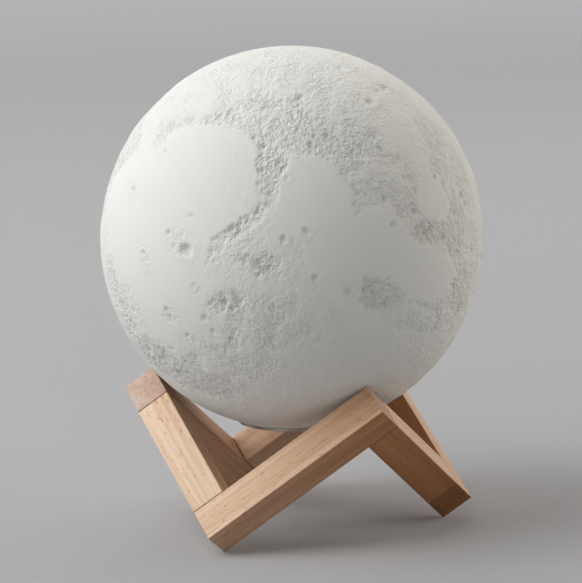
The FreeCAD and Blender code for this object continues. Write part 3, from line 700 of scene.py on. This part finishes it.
CRATERS = tuple(Crater(*row) for row in (
    (-30.7, 5.3, 2.5, 1.0), (-35.4, 6.2, 1.0), (-37.5, 10.0, 1.2), (-47.5, 3.0, 1.0), (-47.6, 33.9, 1.0),
    (-57.7, 20.7, 1.1), (-30.1, 15.4, 1.0), (-28.4, -4.7, 1.0), (-40.0, -13.3, 1.1), (-39.0, -15.4, 0.9),
    (-26.4, -14.6, 1.2), (-34.1, -21.1, 1.1), (-24.2, -19.0, 1.0), (-18.9, -21.1, 0.9),
    (-43.3, -26.7, 1.0), (-0.8, 9.4, 1.2, 0.75), (5.7, 11.1, 1.3, 0.7), (8.0, -2.4, 1.3),
    (-12.2, 2.9, 1.2), (-8.7, 1.8, 1.5), (-6.2, 0.0, 1.7), (-8.5, -1.4, 1.1), (-19.2, -9.6, 1.7, 0.6),
    (-14.8, -8.9, 1.9, 0.7), (-17.2, -11.4, 1.1), (-15.6, -7.1, 1.0), (60.0, 54.3, 2.0),
    (41.5, 49.8, 1.8), (17.1, -7.2, 1.4), (7.7, 54.6, 1.3), (54.0, 22.7, 1.2), (56.9, 20.1, 1.2),
    (66.1, 15.1, 1.3), (67.7, 12.8, 1.1), (59.2, 10.8, 1.1), (40.8, 13.6, 1.3), (43.2, 10.1, 1.4),
    (46.1, 8.0, 1.1), (22.5, -3.5, 1.0), (30.2, -4.3, 1.0), (22.2, -7.0, 1.0), (21.4, -9.9, 1.0),
    (25.1, -8.2, 1.0), (22.6, 21.0, 1.0), (21.1, 18.2, 1.0), (32.5, 10.8, 1.1), (-7.6, 29.2, 1.4),
    (-8.1, 25.3, 1.2), (-4.8, 21.8, 1.4), (-5.4, 18.9, 1.2), (-8.4, 16.9, 1.3), (0.2, 27.0, 1.1),
    (-1.7, 31.9, 1.4), (-21.9, 8.9, 1.1), (-16.1, 12.2, 1.3), (-11.2, 39.7, 1.2), (-8.2, 37.1, 1.2),
))


def cover(ovals: tuple[Oval, ...], where: Array, edge: Pair) -> Array:
    """How strongly the ovals cover each direction; edge is the reach they start at and are full at."""
    return np.max([oval.strength * smooth_step(*edge, oval.reach(where)) for oval in ovals], axis=0)


def pit(reach: Array) -> Array:
    """A crater's profile over the reach from its middle: -1 at the floor, with a rim and 0 far out."""
    return RIM_HEIGHT * np.exp(-(((reach - RIM_REACH) / RIM_WIDTH) ** 2)) - smooth_step(*PIT_WALL, reach)


@dataclass
class PitField:
    """Round pits of many sizes, one for each cell of a lattice, drawn from a seed."""

    seed: int
    side: int = 48
    smallest: float = 0.20
    largest: float = 0.58

    def __post_init__(self) -> None:
        """Draws the pits."""
        draw = np.random.default_rng(self.seed)
        cells = (self.side, self.side, self.side)
        self.middles = draw.random((*cells, 3))
        self.sizes = self.smallest + (self.largest - self.smallest) * draw.random(cells) ** 2

    def at(self, points: Array) -> Array:
        """The pits' depth at some points.

        Args:
            points: an (n, 3) array in lattice units.

        Returns:
            n values, below zero in the pits, scaled so that wide pits are deeper.
        """
        cell = np.floor(points).astype(int)
        total = np.zeros(len(points))
        for shift in np.ndindex(3, 3, 3):
            place = cell + shift - 1
            index = tuple((place % self.side).T)
            size = self.sizes[index]
            gap = np.linalg.norm(points - place - self.middles[index], axis=1)
            total += size * pit(gap / size)
        return total


@dataclass
class MoonRelief:
    """How far the printed surface lies inside the sphere, in every direction.

    The surface stays close to the full sphere at its contacts, where the moon rests on
    its stand. A bend is a noise's scale, octaves and reach; an edge, slope or band is
    where something starts and is full; swells, lumps and pits have a scale and height.
    """

    contacts: list[Array]
    seed: int = 41
    bend: tuple[float, int, float] = (4.5, 5, 0.07)
    shore_bend: tuple[float, int, float] = (14.0, 3, 0.024)
    crater_bend: tuple[float, int, float] = (30.0, 2, 0.015)
    bend_shifts: Triple = (0.0, 2.7, 5.1)
    plain_edge: Pair = (1.06, 0.96)
    belt_edge: Pair = (1.30, 0.70)
    scar_edge: Pair = (1.20, 0.50)
    least_rough: float = 0.26
    patches: tuple[float, int] = (8.0, 2)
    patchiness: float = 1.3
    rough_level_mm: float = -0.60
    smooth_rise_mm: float = 0.34
    smooth_slope: Pair = (0.75, 0.25)
    limits_mm: Pair = (-1.35, -0.02)
    rest_mm: float = -0.06
    rest_edge: Pair = (4.5, 1.5)
    swells: Pair = (2.2, 0.06)
    lumps: Pair = (20.0, 0.24)
    large_pits: Pair = (12.0, 0.72)
    small_pits: Pair = (22.0, 0.9)
    folds: Triple = (25.0, 25.0, 8.0)
    fold_mm: float = 0.26
    fold_band: Pair = (0.05, -0.30)
    hollow_start_mm: float = 0.08
    hollow_full_mm: float = 0.55

    def __post_init__(self) -> None:
        """Draws the noise and the pits."""
        self.noise = GradientNoise(self.seed)
        self.pits = PitField(self.seed + 1)

    def bent(self, where: Array, scale: float, layers: int, reach: float) -> Array:
        """Directions shifted by noise, which gives outlines ragged edges."""
        shifts = [self.noise.layered(where + step, scale, layers) for step in self.bend_shifts]
        return unit(where + reach * np.stack(shifts, axis=1))

    def ground(self, where: Array) -> tuple[Array, Array]:
        """How much of a smooth plain lies in each direction, and how rough the print is there.

        Args:
            where: unit vectors, (n, 3).

        Returns:
            n values from 0 to 1 for each of the two.
        """
        bent, near = self.bent(where, *self.bend), self.bent(where, *self.shore_bend)
        shores = [smooth_step(-shore.softness, shore.softness, shore.depth(near)) for shore in SHORES]
        plain = np.max([*shores, cover(PLAINS, bent, self.plain_edge)], axis=0)
        belts = np.maximum(cover(BELTS, bent, self.belt_edge), self.least_rough) * (1.0 - plain)
        rough = np.maximum(belts, cover(SCARS, bent, self.scar_edge))
        patchy = 1.0 + self.patchiness * self.noise.layered(where, *self.patches)
        return plain, np.clip(rough * patchy, 0.0, 1.0)

    def depth_mm(self, where: Array) -> tuple[Array, Array, Array]:
        """The surface's height over the full sphere.

        Args:
            where: unit vectors, (n, 3).

        Returns:
            Heights in millimetres, all below zero, a share from 0 to 1 of how much each
            point lies in a hollow, which the finish greys as painted shade, and the roughness from 0 to 1.
        """
        plain, rough = self.ground(where)
        ground = self.rough_level_mm + self.smooth_rise_mm * smooth_step(*self.smooth_slope, rough)
        scale, rise = self.swells
        height = ground + rise * self.noise.at(where * scale)
        low = smooth_step(*self.fold_band, where[:, 2]) * (1.0 - plain)
        height += self.fold_mm * low * self.noise.at(where * np.array(self.folds))
        scale, rise = self.lumps
        height += rough * rise * self.noise.at(where * scale)
        for scale, depth in (self.large_pits, self.small_pits):
            height += rough * depth * self.pits.at(where * scale)
        ragged = self.bent(where, *self.crater_bend)
        for crater in CRATERS:
            angle = np.arccos(np.clip(ragged @ direction(crater.azimuth, crater.elevation), -1.0, 1.0))
            height += crater.depth_mm * pit(angle / math.radians(crater.radius))
        hollow = np.clip((ground - height - self.hollow_start_mm) / self.hollow_full_mm, 0.0, 1.0)
        height = np.clip(height, *self.limits_mm)
        for contact in self.contacts:
            angle = np.degrees(np.arccos(np.clip(where @ contact, -1.0, 1.0)))
            hold = smooth_step(*self.rest_edge, angle)
            height = height * (1.0 - hold) + self.rest_mm * hold
        return height, hollow, rough


# ---- the moon


@dataclass(frozen=True)
class Ball:
    """The moon's measures, read from its CAD node."""

    middle: Vector
    radius: float
    opening: float
    flat: float

    @staticmethod
    def read() -> Ball:
        """Measures the frame.

        Returns:
            The ball, with its base opening's radius and the height of the flat around it.
        """
        low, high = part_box("moon_shell")
        ring_low, ring_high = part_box("touch_ring")
        radius = (high.x - low.x) / 2
        middle = Vector(((low.x + high.x) / 2, (low.y + high.y) / 2, high.z - radius))
        return Ball(middle, radius, (ring_high.x - ring_low.x) / 2, low.z)


@dataclass
class MoonShell:
    """The moon's printed skin: a relief outside, a lip around the base and a plain inside."""

    ball: Ball
    relief: MoonRelief
    side: int = 122
    wall: float = 1.5 * MM
    lip: float = 1.0 * MM
    lip_rise: float = 2.0 * MM
    base_rows: int = 36
    inside_rows: int = 8
    fade_reach: float = 1.16
    top_gap: float = 0.03
    skin: Object | None = None

    def steps(self) -> Array:
        """Where lines that are evenly spread in angle cut a side of the cube."""
        return np.tan(np.linspace(-math.pi / 4, math.pi / 4, self.side + 1))

    def cube_side(self, normal: Array, across: Array) -> Array:
        """A cube's side blown up into a sphere, by the way it faces and the way its columns run."""
        columns, rows = np.meshgrid(self.steps(), self.steps())
        return unit(normal + columns[..., None] * across + rows[..., None] * np.cross(normal, across))

    def rows_to_base(self) -> Array:
        """Rows of unit vectors from the lower cube side's edge in to the base opening.

        Returns:
            (base_rows + 1, 4 * side, 3), the last row on the opening's circle.
        """
        steps, ones = self.steps()[:-1], np.ones(self.side)
        sides = ((steps, -ones, -ones), (ones, steps, -ones), (-steps, ones, -ones), (-ones, -steps, -ones))
        edge = unit(np.concatenate([np.column_stack(side) for side in sides]))
        heading = np.arctan2(edge[:, 1], edge[:, 0])
        stop = math.asin(self.ball.opening / self.ball.radius)
        angle = np.linspace(np.arccos(-edge[:, 2]), stop, self.base_rows + 1)
        level = np.sin(angle)
        return np.stack([level * np.cos(heading), level * np.sin(heading), -np.cos(angle)], axis=2)

    def inside(self) -> list[Pair]:
        """The rings of the lip under the moon and of the smooth inner wall.

        Returns:
            Their radius and height, from the edge of the lip to the top.
        """
        lip, inner = self.ball.opening - self.lip, self.ball.radius - self.wall
        angles = np.linspace(math.asin(lip / inner), math.pi - self.top_gap, self.inside_rows)
        wall = [(inner * math.sin(angle), self.ball.middle.z - inner * math.cos(angle)) for angle in angles]
        return [(lip, self.ball.flat), (lip, self.ball.flat + self.lip_rise), *wall]

    def build(self) -> None:
        """Makes the skin."""
        x, y, z = np.eye(3)
        patch = Patch()
        for normal, across in ((z, x), (x, y), (-x, -y), (y, -x), (-y, x)):
            patch.grid(patch.add(self.cube_side(normal, across)))
        rows = self.rows_to_base()
        row_numbers = patch.add(rows)
        patch.grid(row_numbers, closed=True)
        skin, ball = patch.all_points(), self.ball
        height, hollow, rough = self.relief.depth_mm(skin)
        away = ball.radius * np.hypot(skin[:, 0], skin[:, 1])
        fade = smooth_step(ball.opening, ball.opening * self.fade_reach, away)
        radius = ball.radius + height * np.where(skin[:, 2] < 0.0, fade, 1.0) * MM
        patch.points = [skin * radius[:, None] + np.array(ball.middle)]
        rings, flat = [row_numbers[-1]], unit(rows[-1, :, :2])
        for radius, up in self.inside():
            rings.append(patch.add(np.column_stack([flat * radius, np.full(len(flat), up)])))
        patch.grid(np.array(rings), closed=True)
        patch.faces.append(rings[-1].tolist())
        patch.slots.append(0)
        rest = np.zeros(len(patch.all_points()) - len(skin))
        # The "hollow" share is the mask of the finish's painted shade.
        values = {"hollow": np.append(hollow, rest), "rough": np.append(rough, rest)}
        item = patch.build("moon_skin", values)
        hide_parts("moon_shell")
        self.skin = item

    def dress(self, looks: Looks) -> None:
        """Gives the skin its finish and its body."""
        looks.dress(self.skin, "moon_shell")
        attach(self.skin, Body.MOON.value)


# ---- the stand


LONG_BARS = ("front_bar", "right_bar", "left_bar")
EDGE_AZIMUTHS = (330.0, 90.0, 210.0)
EDGE_RISE = math.degrees(math.asin(math.sqrt(1.0 / 3.0)))


def cube_edges() -> Array:
    """The edge directions of a cube that stands on one corner, one in each row."""
    return np.array([direction(azimuth, EDGE_RISE) for azimuth in EDGE_AZIMUTHS])


def contacts(ball: Ball) -> list[Array]:
    """Unit vectors from the moon's middle to the three corners that hold it."""
    gaps = [points_of(bpy.data.objects[node]) - np.array(ball.middle) for node in LONG_BARS]
    return [unit(gap[np.argmin(np.linalg.norm(gap, axis=1))]) for gap in gaps]


@dataclass(frozen=True)
class Bar:
    """A beech bar: its CAD node, where its grain starts and how red its wood is, with
    the sides whose tone differs by their axis and end as painted light and shade, redder where a side lies
    in shade and paler where it is lit, and the change from end to end."""

    node: str
    grain_start: Triple
    tone: float
    lit_and_shaded_tones: tuple[tuple[int, int, float], ...] = ()
    tone_drift: float = 0.0
    arris: float = 0.45 * MM
    round_steps: int = 3
    length_steps: int = 40
    side_steps: int = 8

    def build(self) -> Object:
        """Makes the bar as a box with rounded arrises, its sides close-set near their edges.

        Returns:
            The object, which stands for the CAD bar.
        """
        axes = cube_edges()
        spans = points_of(bpy.data.objects[self.node]) @ axes.T
        low, high = spans.min(axis=0), spans.max(axis=0)
        middle, half = (low + high) / 2, (high - low) / 2
        long_axis = int(np.argmax(half))
        counts = [self.length_steps if axis == long_axis else self.side_steps for axis in range(3)]
        stations = [self.stations(*limits) for limits in zip(low, high, counts)]
        painted_sides = {(axis, side): tone for axis, side, tone in self.lit_and_shaded_tones}
        patch, tones = Patch(), []
        for axis, side in itertools.product(range(3), (0, 1)):
            lines = [*stations[:axis], [(low, high)[side][axis]], *stations[axis + 1 :]]
            box = np.stack(np.meshgrid(*lines, indexing="ij"), axis=-1)
            numbers = patch.add(box.squeeze(axis).swapaxes(0, 1))
            patch.grid(numbers, slot=1 if axis == long_axis else 0)
            # Painted light and shade: a side listed in the lit and shaded tones takes its own tone.
            tones.append(np.full(numbers.size, painted_sides.get((axis, side), self.tone)))
        offset, core = patch.all_points() - middle, half - self.arris
        kept = np.clip(offset, -core, core)
        over = offset - kept
        pull = self.arris / np.maximum(np.linalg.norm(over, axis=1), self.arris)
        rounded = kept + over * pull[:, None]
        points = (middle + rounded) @ axes
        points[:, 2] = np.maximum(points[:, 2], 0.0)
        patch.points = [points]
        grain = rounded[:, (long_axis + np.arange(3)) % 3] + np.array(self.grain_start)
        drift = self.tone_drift * offset[:, long_axis] / (2 * half[long_axis])
        values = {"grain": grain, "tone": np.concatenate(tones) + drift}
        item = patch.build(f"{self.node}_wood", values)
        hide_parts(self.node)
        return item

    def stations(self, low: float, high: float, count: int) -> Array:
        """Where the grid's lines run on one axis: a count of them evenly, and a few in each rounding."""
        ends = self.arris * np.linspace(0.0, 1.0, self.round_steps + 1)
        return np.concatenate([
            low + ends[:-1], np.linspace(low + ends[-1], high - ends[-1], count), (high - ends)[-2::-1],
        ])


@dataclass
class Stand:
    """Six beech bars butted into a ring, three of them running past the corners."""

    bars: tuple[Bar, ...] = (
        # Painted light and shade in the tones: each bar's listed sides are redder where they lie in shade
        # and paler where lit, and the two right-hand bars' full red tone partly darkens the shaded right
        # side.
        Bar("front_bar", (0.0, 0.0, 0.0), 0.24, ((2, 0, 0.7),), 0.6),
        Bar("right_bar", (0.31, 0.043, 0.017), 1.0, ((1, 1, 0.4),)),
        Bar("left_bar", (0.67, -0.029, 0.051), 0.1, ((1, 1, 0.7), (2, 0, 0.7))),
        Bar("left_strut", (1.13, 0.061, -0.037), 0.0, ((1, 1, 0.65),)),
        Bar("right_strut", (1.59, -0.053, 0.023), 1.0, ((1, 1, 0.4),)),
        Bar("back_strut", (2.03, 0.019, -0.061), 0.5),
    )
    wood: dict[str, Object] = field(default_factory=dict)

    def build(self) -> None:
        """Makes the bars."""
        self.wood = {bar.node: bar.build() for bar in self.bars}

    def dress(self, looks: Looks) -> None:
        """Gives the bars their finishes, end grain last, and their body.

        Args:
            looks: the finishes.
        """
        for node, item in self.wood.items():
            looks.dress(item, node)
            item.data.materials.append(looks.end_grain)
            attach(item, Body.STAND.value)


# ---- the base


@dataclass
class TouchRing:
    """The pressed metal ring, turned from one profile with its edges rolled."""

    turns: int = 192
    plate: float = 0.8 * MM
    skirt: float = 0.8 * MM
    roll: float = 0.4 * MM
    bore_roll: float = 0.25 * MM
    roll_steps: int = 5
    crease: float = 40.0
    ring: Object | None = None

    def profile(self) -> list[Pair]:
        """The ring's section.

        Returns:
            Radius and height pairs in a closed loop.
        """
        low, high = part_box("touch_ring")
        outer, floor, top = (high.x - low.x) / 2, low.z, high.z
        inner = np.hypot(*points_of(bpy.data.objects["touch_ring"])[:, :2].T).min()
        turns = np.linspace(0.0, math.pi / 2, self.roll_steps)
        bends = [(1 - math.sin(turn), 1 - math.cos(turn)) for turn in turns]
        under, roll = floor + self.plate, self.bore_roll
        points = [(inner + roll * aside, floor + roll * up) for aside, up in bends[::-1]]
        points += [(outer - self.roll * aside, floor + self.roll * up) for aside, up in bends]
        points += [(outer, top), (outer - self.skirt, top), (outer - self.skirt, under), (inner, under)]
        return [*points, points[0]]

    def build(self) -> None:
        """Makes the ring."""
        radius, up = np.array(self.profile()).T[:, :, None]
        angle = np.linspace(0.0, 2 * math.pi, self.turns, endpoint=False)
        radius, up, angle = np.broadcast_arrays(radius, up, angle)
        patch = Patch()
        points = np.stack([radius * np.cos(angle), radius * np.sin(angle), up], axis=-1)
        patch.grid(patch.add(points), closed=True)
        turn = np.stack([angle, radius, up], axis=-1).reshape(-1, 3)
        item = patch.build("touch_ring_metal", {"turn": turn})
        sharpen(item, self.crease)
        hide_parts("touch_ring")
        self.ring = item

    def dress(self, looks: Looks) -> None:
        """Gives the ring its finish and its body."""
        looks.dress(self.ring, "touch_ring")
        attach(self.ring, Body.MOON.value)


@dataclass
class Base:
    """The moulded base with what it holds: the cover with its edges broken, the rest as
    the CAD has it."""

    nodes: dict[str, Object]
    cover_node: str = "base_cover"
    broken_edge: float = 0.15 * MM
    edge_steps: int = 2
    flat_angle: float = 1.0
    crease: float = 30.0
    edge_angle: float = 50.0
    merge_reach: float = 0.001 * MM
    cover: Object | None = None

    def build(self) -> None:
        """Makes the cover from its CAD solid, with the facets merged and the edges broken."""
        mesh = bpy.data.objects[self.cover_node].data.copy()
        mesh.materials.clear()
        item = bpy.data.objects.new(f"{self.cover_node}_moulded", mesh)
        bpy.context.scene.collection.objects.link(item)
        work = bmesh.new()
        work.from_mesh(mesh)
        bmesh.ops.remove_doubles(work, verts=work.verts, dist=self.merge_reach)
        flat = math.radians(self.flat_angle)
        bmesh.ops.dissolve_limit(work, angle_limit=flat, verts=work.verts, edges=work.edges)
        work.to_mesh(mesh)
        work.free()
        mesh.polygons.foreach_set("use_smooth", np.ones(len(mesh.polygons), bool))
        sharpen(item, self.crease)
        edge = item.modifiers.new("broken_edges", "BEVEL")
        edge.width = self.broken_edge
        edge.segments = self.edge_steps
        edge.limit_method = "ANGLE"
        edge.angle_limit = math.radians(self.edge_angle)
        edge.harden_normals = True
        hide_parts(self.cover_node)
        self.cover = item

    def dress(self, looks: Looks) -> None:
        """Gives the cover and every CAD piece that still shows their finishes.

        Args:
            looks: the finishes.
        """
        looks.dress(self.cover, self.cover_node)
        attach(self.cover, Body.MOON.value)
        for node, item in self.nodes.items():
            if not item.hide_render:
                item.data.materials.clear()
                looks.dress(item, node)


# ---- the setting


def hang(item: Object, place: Triple, aim: Triple, roll: float = 0.0) -> None:
    """Puts a light or a camera in its place in the scene.

    Args:
        item: the object, which looks along its own -Z.
        place: where it hangs.
        aim: what it faces.
        roll: its turn about the line between the two, in degrees.
    """
    item.location = place
    item.rotation_mode = "QUATERNION"
    heading = (Vector(aim) - Vector(place)).to_track_quat("-Z", "Y")
    item.rotation_quaternion = heading @ Quaternion((0.0, 0.0, 1.0), math.radians(roll))
    bpy.context.scene.collection.objects.link(item)


@dataclass(frozen=True)
class Lamp:
    """A soft square light, by where it hangs and what it faces, in metres, and its watts
    and colour."""

    name: str
    place: Triple
    power: float
    size: float = 1.4
    aim: Triple = (0.0, 0.0, 0.09)
    colour: str = "FFFFFF"

    def build(self) -> None:
        """Adds the light to the scene, out of the camera's sight."""
        light = bpy.data.lights.new(self.name, "AREA")
        light.shape = "SQUARE"
        light.size = self.size
        light.energy = self.power
        light.color = linear(self.colour)[:3]
        item = bpy.data.objects.new(self.name, light)
        item.visible_camera = False
        hang(item, self.place, self.aim)


LAMPS = (
    Lamp("key", (-1.20, -0.50, 1.60), 18.0),
    Lamp("left_window", (-1.70, -0.30, 0.75), 11.4, 1.2),
    Lamp("left_rear", (-1.30, 0.60, 1.50), 9.6),
    Lamp("front", (-0.30, -1.80, 1.20), 7.4, colour="FFFDF8"),
    Lamp("right_rear", (1.40, 0.90, 0.50), 13.8, 1.2, colour="FFF9F0"),
    Lamp("right", (1.50, -0.30, 1.10), 6.0, colour="FFF8EE"),
    Lamp("sweep_light", (-0.25, 1.50, 1.60), 15.0, 1.5, (-0.15, 1.7, 0.1)),
)


@dataclass(frozen=True)
class Paper:
    """Pale matt paper with faint fibres. Far out it looks as pale as the light around it,
    and so it has no edge or dark end in any view."""

    name: str = "paper"
    dark: str = "ACACAE"
    pale: str = "B0B0B2"
    around: str = "B2B2B4"
    fibres: float = 260.0
    fade: Pair = (1.1, 1.9)

    def make(self) -> Material:
        """Builds the material.

        Returns:
            The material.
        """
        graph = Graph(self.name)
        where = graph.add("TexCoord", output="Object")
        fibres = graph.add("TexNoise", {"Vector": where, "Scale": self.fibres, "Detail": 4.0})
        tone = graph.add("Mix", {SHARE: fibres, FIRST: self.dark, SECOND: self.pale}, **MIX)
        matt = {"Base Color": tone, "Roughness": 0.9, "Specular IOR Level": 0.15}
        paper = graph.add("BsdfPrincipled", matt)
        away = graph.add("VectorMath", (where,), "Value", operation="LENGTH")
        out = graph.add("MapRange", (away, *self.fade), **SMOOTH)
        share = graph.add("Math", (out, graph.seen()), **TIMES)
        glow = graph.add("Emission", {"Color": self.around})
        surface = graph.add("MixShader", (share, paper, glow))
        graph.add("OutputMaterial", {"Surface": surface})
        return graph.owner


@dataclass(frozen=True)
class Setting:
    """The paper floor, the lights and the camera, in metres and degrees."""

    lamps: tuple[Lamp, ...] = LAMPS
    camera_place: Triple = (0.04244, -1.57645, 0.37600)
    camera_aim: Triple = (-0.00097, -0.00240, 0.09230)
    camera_roll: float = -1.76
    camera_range: Pair = (0.01, 50.0)
    lens: float = 252.97
    sensor: float = 36.0
    floor_reach: float = 8.0
    paper: Paper = Paper()
    light: str = "DDE0E4"
    light_strength: float = 0.03

    def floor(self) -> None:
        """Lays the paper that the lamp stands on."""
        patch = Patch()
        sides = (-self.floor_reach, self.floor_reach)
        patch.grid(patch.add(np.array([[(x, y, 0.0) for x in sides] for y in sides])))
        item = patch.build("floor", {})
        item.data.materials.append(self.paper.make())

    def world(self) -> None:
        """A faint even light, which looks as pale as the far floor."""
        graph = Graph("world", world=True)
        light = graph.add("Background", {"Color": self.light, "Strength": self.light_strength})
        backdrop = graph.add("Background", {"Color": self.paper.around})
        surface = graph.add("MixShader", (graph.seen(), light, backdrop))
        graph.add("OutputWorld", {"Surface": surface})
        bpy.context.scene.world = graph.owner

    def camera(self) -> None:
        """Puts the camera where the photograph was taken from."""
        data = bpy.data.cameras.new("camera")
        data.lens = self.lens
        data.sensor_width = self.sensor
        data.clip_start, data.clip_end = self.camera_range
        item = bpy.data.objects.new("camera", data)
        hang(item, self.camera_place, self.camera_aim, self.camera_roll)
        bpy.context.scene.camera = item

    def build(self) -> None:
        """Makes the setting."""
        self.floor()
        for lamp in self.lamps:
            lamp.build()
        self.world()
        self.camera()


def main() -> None:
    """Builds the lamp and its setting."""
    logging.basicConfig(level=logging.INFO, format="%(message)s")
    for item in list(bpy.data.objects):
        bpy.data.objects.remove(item, do_unlink=True)
    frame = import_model()
    looks = Looks({part["node"]: part["material_slot"] for part in frame["record"]["subparts"]})
    ball = Ball.read()
    log.info("moon radius %.2f mm, middle at %.2f mm", ball.radius / MM, ball.middle.z / MM)
    relief = MoonRelief(contacts(ball))
    for assembly in (MoonShell(ball, relief), TouchRing(), Stand(), Base(frame["nodes"])):
        assembly.build()
        assembly.dress(looks)
    Setting().build()
    log.info("floor, %d lights and camera", len(LAMPS))
    bpy.context.scene.view_settings.view_transform = "Standard"


if __name__ == "__main__":
    main()
